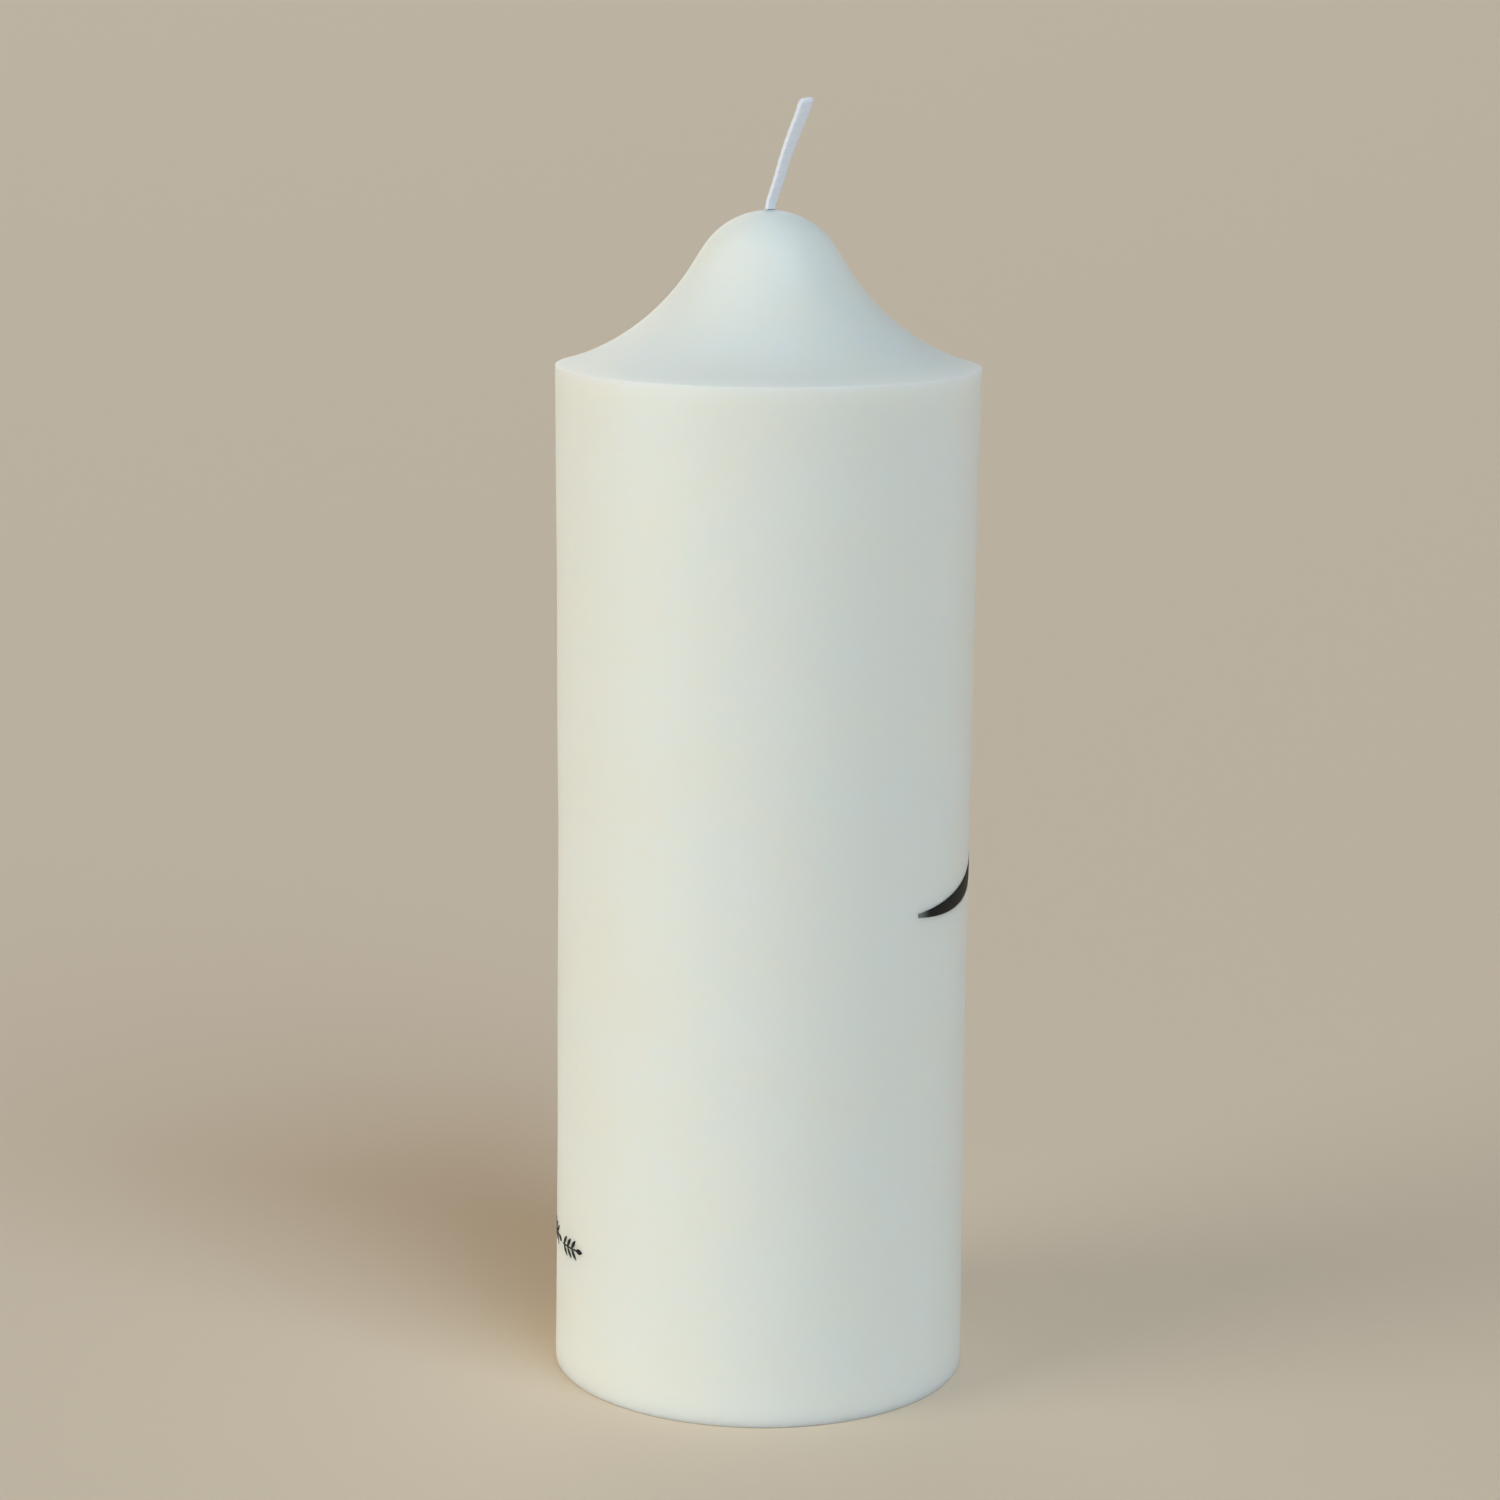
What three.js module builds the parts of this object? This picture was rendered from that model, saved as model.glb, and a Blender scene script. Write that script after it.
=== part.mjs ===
// Unity candle: a wedding pillar of moulded wax with a bell-shaped top, its braided wick, the
// steel tab that holds the wick's foot, and the decoration printed on its side.
//
// Millimetres, +Z up. The origin is the middle of the base, on the surface the candle stands on.
// The plain back faces -Y and the printed front faces about +Y. Angles round the candle are
// counted from -Y towards +X.

import * as THREE from 'three';
import { mergeVertices } from 'three/addons/utils/BufferGeometryUtils.js';
import { TessellateModifier } from 'three/addons/modifiers/TessellateModifier.js';

const degrees = THREE.MathUtils.degToRad;

// ---- Driving dimensions ----

// Wax pillar
const bodyDiameter = 70;
const bodyHeight = 171; // base to the sharp rim of the shoulder
const sideShrink = 0.44; // the cooling wax draws the side in this far at mid-height
const baseEdge = 0.3; // rounding between the side and the base

// Bell: a small dome, a short steep flank, and a wide hollow sweep out to the rim
const bellHeight = 25.2;
const domeRadius = 12.8;
const flankSlope = degrees(57.9); // from the horizontal
const flankLength = 3.4;
const creepRise = 0.4; // wax drawn up round the wick
const creepReach = 1.1;

// Wick: a flat cotton braid that leans over where it leaves the wax
const wickWidth = 2;
const wickThickness = 1.1;
const wickTurn = degrees(42); // its broad face looks this far round from -Y towards +X
const channelGap = 0.25; // between the wick or its collar and the wax

// Tab: a pressed steel disc with a collar crimped on the wick's foot
const tabDiameter = 20;
const tabSheet = 0.35;
const collarHeight = 6;
const crimpGap = 0.15; // between the collar and the wick
const tabInset = 1; // the disc stays this far above the base
const recessGap = 0.5; // round the disc, in the wax

// Print: raised ink on the side
const inkThickness = 0.15;
const inkGap = 0.05; // between the ink and the wax
const frontAngle = degrees(199); // the middle of the decoration
const finestInk = 0.2; // breadth of a flourish's hairline end

// Flourishes: each is a brush stroke that sags to its lowest point near the tip, climbs in a
// hollow curve, and rounds over to end level beside the rings. The long one starts on the plain
// side, the short one answers it from the other side.
const longFlourish = {
  tipAngle: degrees(47),
  tipToLow: 3.7, // round the side
  lowHeight: 84,
  endHeight: 108.4,
  endToMiddle: 23, // from the end to the middle of the decoration, round the side
  hollowShare: 0.65, // the hollow curve's radius, as a share of both curves' radii together
  tipBreadth: 0.57,
  breadth: 3.55,
  opening: 25, // length over which the stroke opens from its tip
  closing: 48, // and closes towards its end
};
const shortFlourish = {
  tipAngle: degrees(264),
  tipToLow: 3,
  lowHeight: 92.5,
  endHeight: 101.3,
  endToMiddle: 9.7,
  hollowShare: 0.6,
  tipBreadth: 0.4,
  breadth: 2.6,
  opening: 11,
  closing: 22,
};

// Two linked rings
const ringHeight = 118;
const ringRadius = 9;
const ringSpread = 5.5; // each ring's middle, from the middle of the decoration
const ringBreadth = 0.9;
const ringGap = 0.45; // where one ring passes under the other

// Garland of leafy sprigs
const garlandHeight = 23.5;
const garlandHalfAngle = degrees(103);
const sprigCount = 13;
const sprigGap = 1;
const sprigTilt = degrees(6);
const stemBreadth = 0.3;
const leafPairs = 3;
const leafRoot = 0.35;
const leafReach = 2;
const leafRise = 1.55;
const tipLeafLength = 2.3;
const tipLeafBulge = 0.45;

// ---- Sizes that follow ----

const bodyRadius = bodyDiameter / 2;
const crownHeight = bodyHeight + bellHeight;
const wickHole = wickWidth / 2 + channelGap;
const collarBore = wickWidth / 2 + crimpGap;
const collarRadius = collarBore + tabSheet;
const collarHole = collarRadius + channelGap;
const collarTop = tabInset + collarHeight;
const recessDepth = tabInset + tabSheet + channelGap;
const frontAlong = bodyRadius * frontAngle;

// ---- Fineness ----

const waxSegments = 64;
const sideSteps = 8;
const edgeSteps = 3;
const sweepSteps = 9;
const domeSteps = 7;
const wickSteps = 72;
const tabSegments = 40;
const ringSteps = 32;
const longestInkEdge = 2.4;

const at = (x, y) => new THREE.Vector2(x, y);

// The side's radius at a height: a shallow parabola, deepest at mid-height.
function sideRadius(height) {
  const rise = THREE.MathUtils.clamp(height / bodyHeight, 0, 1);
  return bodyRadius - sideShrink * 4 * rise * (1 - rise);
}

// Points on a circle's arc, both ends included.
function arc(centre, radius, from, to, steps) {
  const points = [];
  for (let i = 0; i <= steps; i++) {
    const angle = from + ((to - from) * i) / steps;
    points.push(at(centre.x + radius * Math.cos(angle), centre.y + radius * Math.sin(angle)));
  }
  return points;
}

// A solid of revolution about Z from a closed profile of (radius, height) points.
function turned(profile, segments) {
  const geometry = new THREE.LatheGeometry([...profile, profile[0].clone()], segments);
  return geometry.rotateX(Math.PI / 2);
}

// Bell, from the rim of the shoulder in to the wick's hole. The sweep is the arc that leaves the
// flank in line with it and ends at the rim.
function bellProfile() {
  const rim = at(bodyRadius, bodyHeight);
  const domeCentre = at(0, crownHeight - domeRadius);
  const flankTop = at(domeRadius * Math.sin(flankSlope), domeCentre.y + domeRadius * Math.cos(flankSlope));
  const downFlank = at(Math.cos(flankSlope), -Math.sin(flankSlope));
  const outOfFlank = at(Math.sin(flankSlope), Math.cos(flankSlope));
  const flankFoot = flankTop.clone().addScaledVector(downFlank, flankLength);

  const span = rim.clone().sub(flankFoot);
  const sweepRadius = span.lengthSq() / (2 * span.dot(outOfFlank));
  const sweepCentre = flankFoot.clone().addScaledVector(outOfFlank, sweepRadius);
  const rimAngle = rim.clone().sub(sweepCentre).angle() - 2 * Math.PI;
  const flankAngle = flankFoot.clone().sub(sweepCentre).angle() - 2 * Math.PI;
  const sweep = arc(sweepCentre, sweepRadius, rimAngle, flankAngle, sweepSteps);

  const creepFoot = Math.acos((wickHole + creepReach) / domeRadius);
  const dome = arc(domeCentre, domeRadius, Math.PI / 2 - flankSlope, creepFoot, domeSteps);
  const mouth = at(wickHole, crownHeight + creepRise);
  return [...sweep, ...dome, mouth];
}

// Wax pillar: base with the tab's recess, rounded edge, drawn-in side, bell, and the straight
// channel that the wick runs in.
function waxBody() {
  const side = [];
  for (let i = 1; i < sideSteps; i++) {
    const height = (bodyHeight * i) / sideSteps;
    side.push(at(sideRadius(height), height));
  }
  const edgeCentre = at(sideRadius(baseEdge) - baseEdge, baseEdge);
  const recessRadius = tabDiameter / 2 + recessGap;
  return turned(
    [
      at(recessRadius, 0),
      ...arc(edgeCentre, baseEdge, -Math.PI / 2, 0, edgeSteps),
      ...side,
      ...bellProfile(),
      at(wickHole, collarTop + channelGap),
      at(collarHole, collarTop + channelGap),
      at(collarHole, recessDepth),
      at(recessRadius, recessDepth),
    ],
    waxSegments,
  );
}

// Wick: one braid from the underside of the tab, up the channel, and out in a lean towards +X.
function wick() {
  const route = [
    [0, tabInset + 0.1],
    [0, crownHeight / 3],
    [0, (crownHeight * 2) / 3],
    [0, crownHeight - 9],
    [0, crownHeight + 0.1],
    [0.4, crownHeight + 2],
    [1.2, crownHeight + 4.4],
    [2.35, crownHeight + 8.4],
    [3.75, crownHeight + 12.4],
    [5, crownHeight + 15.6],
    [5.7, crownHeight + 17.8],
  ];
  const path = new THREE.CatmullRomCurve3(route.map(([x, z]) => new THREE.Vector3(x, 0, z)));
  const section = new THREE.Shape();
  section.absellipse(0, 0, wickThickness / 2, wickWidth / 2, 0, 2 * Math.PI, false, wickTurn);
  return new THREE.ExtrudeGeometry(section, { extrudePath: path, steps: wickSteps, curveSegments: 4 });
}

// Wick tab: a disc with an upright collar, pressed from one sheet.
function wickTab() {
  const discTop = tabInset + tabSheet;
  const bend = tabSheet;
  return turned(
    [
      at(collarBore, tabInset),
      at(tabDiameter / 2, tabInset),
      at(tabDiameter / 2, discTop),
      at(collarRadius + bend, discTop),
      at(collarRadius, discTop + bend),
      at(collarRadius, collarTop),
      at(collarBore, collarTop),
    ],
    tabSegments,
  );
}

// Wraps flat ink, drawn as (distance round from the -Y line, height, thickness), on the side.
function wrapOnSide(geometry) {
  const points = geometry.attributes.position;
  for (let i = 0; i < points.count; i++) {
    const angle = points.getX(i) / bodyRadius;
    const height = points.getY(i);
    const radius = sideRadius(height) + inkGap + points.getZ(i);
    points.setXYZ(i, radius * Math.sin(angle), -radius * Math.cos(angle), height);
  }
  return geometry;
}

function bareGeometry(geometry) {
  geometry.deleteAttribute('normal');
  geometry.deleteAttribute('uv');
  return mergeVertices(geometry);
}

// A brush stroke: a bar of unit size whose length is laid along a flat curve, and whose breadth
// is breadth(t) for t from 0 at the curve's start to 1 at its end.
function brushStroke(curve, breadth, steps) {
  const bar = bareGeometry(new THREE.BoxGeometry(1, 1, 1, steps, 1, 1));
  const points = bar.attributes.position;
  for (let i = 0; i < points.count; i++) {
    const t = points.getX(i) + 0.5;
    const middle = curve.getPoint(t);
    const along = curve.getTangent(t);
    const offset = points.getY(i) * breadth(t);
    const depth = (points.getZ(i) + 0.5) * inkThickness;
    points.setXYZ(i, middle.x - along.y * offset, middle.y + along.x * offset, depth);
  }
  return wrapOnSide(bar);
}

// How far open a stroke is, from 0 to 1, at a distance from its end.
function opening(distance, length) {
  const shut = Math.max(0, 1 - distance / length);
  return 1 - shut * shut;
}

// A flourish's route, flat, from its tip: an arc that is level at its lowest point, and an arc
// that bends the other way and ends level. Where they meet is the steepest place. Direction 1
// runs round the side with the angle, -1 against it.
function flourishRoute(size, direction) {
  const low = bodyRadius * size.tipAngle + direction * size.tipToLow;
  const reach = direction * (frontAlong - low) - size.endToMiddle;
  const climb = size.endHeight - size.lowHeight;
  const steepest = 2 * Math.atan2(climb, reach);
  const bothRadii = reach / Math.sin(steepest);
  const hollow = size.hollowShare * bothRadii;
  const rounded = bothRadii - hollow;
  const down = -Math.PI / 2;
  const up = Math.PI / 2;
  const route = new THREE.CurvePath();
  route.add(
    new THREE.EllipseCurve(
      low,
      size.lowHeight + hollow,
      hollow,
      hollow,
      down - direction * Math.asin(size.tipToLow / hollow),
      down + direction * steepest,
      direction < 0,
    ),
  );
  route.add(
    new THREE.EllipseCurve(
      low + direction * reach,
      size.endHeight - rounded,
      rounded,
      rounded,
      up + direction * steepest,
      up,
      direction > 0,
    ),
  );
  return route;
}

// A flourish opens from its blunt tip to its full breadth and closes to a hairline.
function flourish(size, direction) {
  const route = flourishRoute(size, direction);
  const length = route.getLength();
  const breadth = (t) => {
    const opened = size.tipBreadth + (size.breadth - size.tipBreadth) * opening(t * length, size.opening);
    return finestInk + (opened - finestInk) * opening((1 - t) * length, size.closing);
  };
  return brushStroke(route, breadth, Math.ceil(length / longestInkEdge));
}

// One of the linked rings. It is open where it passes under the other: the left ring at the
// lower crossing, the right ring at the upper one.
function linkedRing(side) {
  const crossing = Math.acos(ringSpread / ringRadius);
  const under = side < 0 ? -crossing : Math.PI - crossing;
  const halfGap = (ringBreadth + ringGap) / ringRadius;
  const curve = new THREE.EllipseCurve(
    frontAlong + side * ringSpread,
    ringHeight,
    ringRadius,
    ringRadius,
    under + halfGap,
    under - halfGap + 2 * Math.PI,
  );
  return brushStroke(curve, () => ringBreadth, ringSteps);
}

// A leaf on one side of a sprig's stem, drawn forward from the root, or backward towards it.
function addLeaf(outline, root, side, forward) {
  const stem = (side * stemBreadth) / 2;
  const rise = side * leafRise;
  const tip = [root + leafReach, stem + rise];
  const back = [root + leafReach * 0.1, stem + rise * 0.75];
  const front = [root + leafReach * 0.8, stem + rise * 0.2];
  const start = forward ? [root, stem] : [root + leafRoot, stem];
  const end = forward ? [root + leafRoot, stem] : [root, stem];
  outline.lineTo(...start);
  outline.quadraticCurveTo(...(forward ? back : front), ...tip);
  outline.quadraticCurveTo(...(forward ? front : back), ...end);
}

// A sprig's outline: out along one side of the stem, round the leaf at its tip, and back.
function sprigOutline(length) {
  const pitch = (length - tipLeafLength) / leafPairs;
  const tipRoot = length - tipLeafLength;
  const outline = new THREE.Shape();
  outline.moveTo(-leafRoot, -stemBreadth / 2);
  for (let i = 0; i < leafPairs; i++) {
    addLeaf(outline, i * pitch, -1, true);
  }
  outline.lineTo(tipRoot, -stemBreadth / 2);
  outline.quadraticCurveTo(tipRoot + tipLeafLength / 2, -2 * tipLeafBulge, length, 0);
  outline.quadraticCurveTo(tipRoot + tipLeafLength / 2, 2 * tipLeafBulge, tipRoot, stemBreadth / 2);
  for (let i = leafPairs - 1; i >= 0; i--) {
    addLeaf(outline, i * pitch, 1, false);
  }
  outline.lineTo(-leafRoot, stemBreadth / 2);
  return outline;
}

// Sprig number i of the garland, which runs level round the foot of the decoration.
function sprig(i) {
  const pitch = (2 * garlandHalfAngle * bodyRadius) / sprigCount;
  const length = pitch - sprigGap - leafRoot;
  const start = frontAlong - garlandHalfAngle * bodyRadius + sprigGap + leafRoot + i * pitch;
  const flat = new THREE.ExtrudeGeometry(sprigOutline(length), {
    depth: inkThickness,
    bevelEnabled: false,
    curveSegments: 3,
  });
  flat.translate(-length / 2, 0, 0);
  flat.rotateZ(i % 2 === 0 ? sprigTilt : -sprigTilt);
  flat.translate(start + length / 2, garlandHeight, 0);
  const split = new TessellateModifier(longestInkEdge).modify(bareGeometry(flat));
  return wrapOnSide(split);
}

// ---- Materials ----

const paraffin = () => new THREE.MeshStandardMaterial({ color: 0xe1e4d4, roughness: 0.45, metalness: 0 });
const cotton = () => new THREE.MeshStandardMaterial({ color: 0xe6e8e2, roughness: 0.85, metalness: 0 });
const tinPlate = () => new THREE.MeshStandardMaterial({ color: 0xb8babd, roughness: 0.35, metalness: 1 });
const ink = () => new THREE.MeshStandardMaterial({ color: 0x2b2724, roughness: 0.5, metalness: 0 });

// ---- Assembly ----

const candle = new THREE.Group();

function addPiece(parent, name, geometry, material) {
  const piece = new THREE.Mesh(geometry, material);
  piece.name = name;
  parent.add(piece);
}

addPiece(candle, 'wax_body', waxBody(), paraffin());
addPiece(candle, 'wick', wick(), cotton());
addPiece(candle, 'wick_tab', wickTab(), tinPlate());

const decoration = new THREE.Group();
addPiece(decoration, 'flourish_long', flourish(longFlourish, 1), ink());
addPiece(decoration, 'flourish_short', flourish(shortFlourish, -1), ink());
addPiece(decoration, 'ring_left', linkedRing(-1), ink());
addPiece(decoration, 'ring_right', linkedRing(1), ink());
for (let i = 0; i < sprigCount; i++) {
  addPiece(decoration, `sprig_${String(i + 1).padStart(2, '0')}`, sprig(i), ink());
}
candle.add(decoration);

export default candle;
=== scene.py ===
import math

import bpy
import numpy as np
from mathutils import Matrix, Vector


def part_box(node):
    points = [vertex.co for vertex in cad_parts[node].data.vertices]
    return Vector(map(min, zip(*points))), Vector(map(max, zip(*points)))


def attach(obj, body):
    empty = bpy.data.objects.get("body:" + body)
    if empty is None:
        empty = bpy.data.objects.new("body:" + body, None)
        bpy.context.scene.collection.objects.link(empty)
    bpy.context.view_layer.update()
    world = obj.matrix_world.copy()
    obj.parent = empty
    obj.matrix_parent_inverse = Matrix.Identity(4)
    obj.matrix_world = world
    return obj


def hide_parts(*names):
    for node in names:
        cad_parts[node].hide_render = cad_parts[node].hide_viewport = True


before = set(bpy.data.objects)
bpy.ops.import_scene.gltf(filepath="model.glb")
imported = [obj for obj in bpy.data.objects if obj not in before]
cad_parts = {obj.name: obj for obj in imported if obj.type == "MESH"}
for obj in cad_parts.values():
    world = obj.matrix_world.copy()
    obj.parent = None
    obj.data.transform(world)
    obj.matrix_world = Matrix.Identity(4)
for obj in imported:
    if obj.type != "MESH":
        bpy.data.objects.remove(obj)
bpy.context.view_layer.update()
mm = 0.001


# every vertex of a CAD node, one row of x, y, z each
def cadPoints(node):
    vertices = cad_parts[node].data.vertices
    points = np.empty(len(vertices) * 3, np.float32)
    vertices.foreach_get("co", points)
    return points.reshape(-1, 3).astype(float)


# how far round the side a point lies, from the -Y line towards +X, 0 to a whole turn
def angleOf(points):
    return np.arctan2(points[..., 0], -points[..., 1]) % (2 * math.pi)


waxPoints = cadPoints("wax_body")
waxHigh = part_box("wax_body")[1]
tabLow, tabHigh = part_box("wick_tab")
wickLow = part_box("wick")[0]
bodyRadius = waxHigh.x
rimShare = 0.999  # a point this far out, as a share of the radius, is on the rim or at the base
onRim = np.hypot(waxPoints[:, 0], waxPoints[:, 1]) > rimShare * bodyRadius
shoulderHeight = waxPoints[onRim, 2].max()
sprigNodes = sorted(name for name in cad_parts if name.startswith("sprig_"))
print("frame: body radius %.4f, shoulder %.4f" % (bodyRadius, shoulderHeight))


view = {
    "position": (0.0, -0.6005, 0.2304),
    "down": 11.66,  # degrees below level
    "turn": -0.23,  # degrees towards +X
    "roll": 0.57,
    "lens": 87.8,  # mm
    "sensor": 36,  # mm
}


# forward = (sin turn cos down, cos turn cos down, -sin down), and the picture is rolled about it
def makeCamera():
    turn, down, roll = (math.radians(view[key]) for key in ("turn", "down", "roll"))
    level = math.cos(down)
    forward = Vector((math.sin(turn) * level, math.cos(turn) * level, -math.sin(down)))
    right = forward.cross(Vector((0, 0, 1))).normalized()
    up = right.cross(forward)
    rolledRight = right * math.cos(roll) + up * math.sin(roll)
    rolledUp = up * math.cos(roll) - right * math.sin(roll)
    camera = bpy.data.objects.new("camera", bpy.data.cameras.new("camera"))
    place = Matrix((rolledRight, rolledUp, -forward)).transposed().to_4x4()
    place.translation = Vector(view["position"])
    camera.matrix_world = place
    camera.data.sensor_width = view["sensor"]
    camera.data.lens = view["lens"]
    bpy.context.scene.collection.objects.link(camera)
    bpy.context.scene.camera = camera
    print("camera made")


makeCamera()


# A closed section carried along a path: sections[i, j] is point j of the section at station i, and
# a face joins each point to the next point and to the next station. With closed the last station
# joins the first; without it each end is drawn in to its middle point. The UV is (share of the way
# along, share of the way round).
def carried(sections, closed=False):
    stations, around = sections.shape[:2]
    steps = stations if closed else stations - 1
    i, j = np.meshgrid(np.arange(steps), np.arange(around), indexing="ij")
    after, beside = (i + 1) % stations, (j + 1) % around
    here, there = i * around, after * around
    quads = np.stack([here + j, here + beside, there + beside, there + j], -1)
    along = np.stack([i, i, i + 1, i + 1], -1) / steps
    across = np.stack([j, j + 1, j + 1, j], -1) / around
    points = sections.reshape(-1, 3)
    faces = quads.reshape(-1, 4).tolist()
    uv = [np.stack([along, across], -1).reshape(-1, 2)]
    if not closed:
        ends = np.array([sections[0].mean(0), sections[-1].mean(0)])
        start, finish = len(points), len(points) + 1
        points = np.vstack([points, ends])
        k = np.arange(around)
        last = (stations - 1) * around
        first = np.stack([np.full(around, start), (k + 1) % around, k], -1)
        final = np.stack([np.full(around, finish), last + k, last + (k + 1) % around], -1)
        faces += first.tolist() + final.tolist()
        uv += [np.tile([0.0, 0.5], (3 * around, 1)), np.tile([1.0, 0.5], (3 * around, 1))]
    return points, faces, np.vstack(uv)


# One object from one or more carried surfaces. Its faces are turned to point outwards: the sum of
# a . (b x c) over its triangles, six times the volume inside, has to be positive.
def makePiece(name, surfaces, material, replaced):
    offset, points, faces, uv = 0, [], [], []
    for part, partFaces, partUv in surfaces:
        points.append(part)
        faces += [[index + offset for index in face] for face in partFaces]
        uv.append(partUv)
        offset += len(part)
    points = np.vstack(points)
    mesh = bpy.data.meshes.new(name)
    mesh.from_pydata(points.tolist(), [], faces)
    layer = mesh.uv_layers.new(name="along")
    layer.data.foreach_set("uv", np.vstack(uv).astype(np.float32).ravel())
    fans = [[face[0], face[k], face[k + 1]] for face in faces for k in range(1, len(face) - 1)]
    a, b, c = (points[np.array(fans)[:, k]] for k in range(3))
    if np.einsum("ij,ij->", a, np.cross(b, c)) < 0:
        mesh.flip_normals()
    mesh.polygons.foreach_set("use_smooth", [True] * len(mesh.polygons))
    mesh.update()
    mesh.materials.append(material)
    piece = bpy.data.objects.new(name, mesh)
    bpy.context.scene.collection.objects.link(piece)
    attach(piece, "root")
    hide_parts(*replaced)
    return piece


# points on an arc of the (radius, height) plane: centre + radius (cos, sin)
def arc(centre, radius, start, finish, count):
    angle = np.linspace(start, finish, count)
    return np.stack([centre[0] + radius * np.cos(angle), centre[1] + radius * np.sin(angle)], -1)


# points at equal steps on a straight line
def straight(start, finish, count):
    return np.linspace(start, finish, count)


# how far along a line each of its points lies
def lengthsAlong(line):
    return np.concatenate([[0], np.cumsum(np.linalg.norm(np.diff(line, axis=0), axis=1))])


# A smooth cubic through given points (Catmull-Rom), then count points at equal steps of
# its length. Each span runs from b to c, bent by the points a before it and d after it.
def smoothLine(chosen, count, perSpan=60):
    p = np.vstack([2 * chosen[0] - chosen[1], chosen, 2 * chosen[-1] - chosen[-2]])
    t = np.linspace(0, 1, perSpan, endpoint=False)[None, :, None]
    a, b, c, d = (p[k:len(p) - 3 + k, None, :] for k in range(4))
    square = (2 * a - 5 * b + 4 * c - d) * t**2
    cube = (3 * b - a - 3 * c + d) * t**3
    dense = 0.5 * (2 * b + (c - a) * t + square + cube)
    dense = np.vstack([dense.reshape(-1, chosen.shape[1]), chosen[-1]])
    length = lengthsAlong(dense)
    wanted = np.linspace(0, length[-1], count)
    return np.stack([np.interp(wanted, length, dense[:, k]) for k in range(dense.shape[1])], -1)


# 0 below 0, 1 above 1, and x^2 (3 - 2x) between
def softStep(x):
    x = np.clip(x, 0, 1)
    return x * x * (3 - 2 * x)


# sRGB hex to the linear colour that a shader takes
def linear(colour):
    channels = [int(colour[k:k + 2], 16) / 255 for k in (1, 3, 5)]
    return tuple(c / 12.92 if c <= 0.04045 else ((c + 0.055) / 1.055) ** 2.4 for c in channels) + (1.0,)


# Adds a node: settings are its inputs or properties, links its inputs fed by (node, output). A
# colour mix has its two colours at inputs 6 and 7 and its result at output 2.
def addNode(tree, kind, settings, links=None):
    node = tree.nodes.new(kind)
    for key, value in settings.items():
        if isinstance(key, int) or key in node.inputs:
            node.inputs[key].default_value = value
        else:
            setattr(node, key, value)
    for key, (source, output) in (links or {}).items():
        tree.links.new(source.outputs[output], node.inputs[key])
    return node


# an empty material and its node tree
def newMaterial(name):
    material = bpy.data.materials.new(name)
    material.use_nodes = True
    material.node_tree.nodes.clear()
    return material, material.node_tree


paraffin = {
    "warm": "#EFF0E5",
    "cool": "#ECF1EA",
    "roughness": (0.36, 0.50),
    "scatterDepth": 4.0 * mm,
    "scatterReach": (1.0, 0.90, 0.80),
    "cloud": 16 * mm,  # across one patch of slower cooling
    "mottle": 2.6 * mm,
    "mottleShare": 0.35,  # how much the mottle counts beside the cloud
    "grain": 0.45 * mm,  # the skin's own is finer; this is as coarse as it needs to show
    "grainHeight": 0.006 * mm,
    "pockSpacing": 13 * mm,
    "pockSize": 0.55 * mm,
    "pockDepth": 0.08 * mm,
    "pockFrom": 0.82,  # a cell has a pock where its own random number is above this
}


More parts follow.
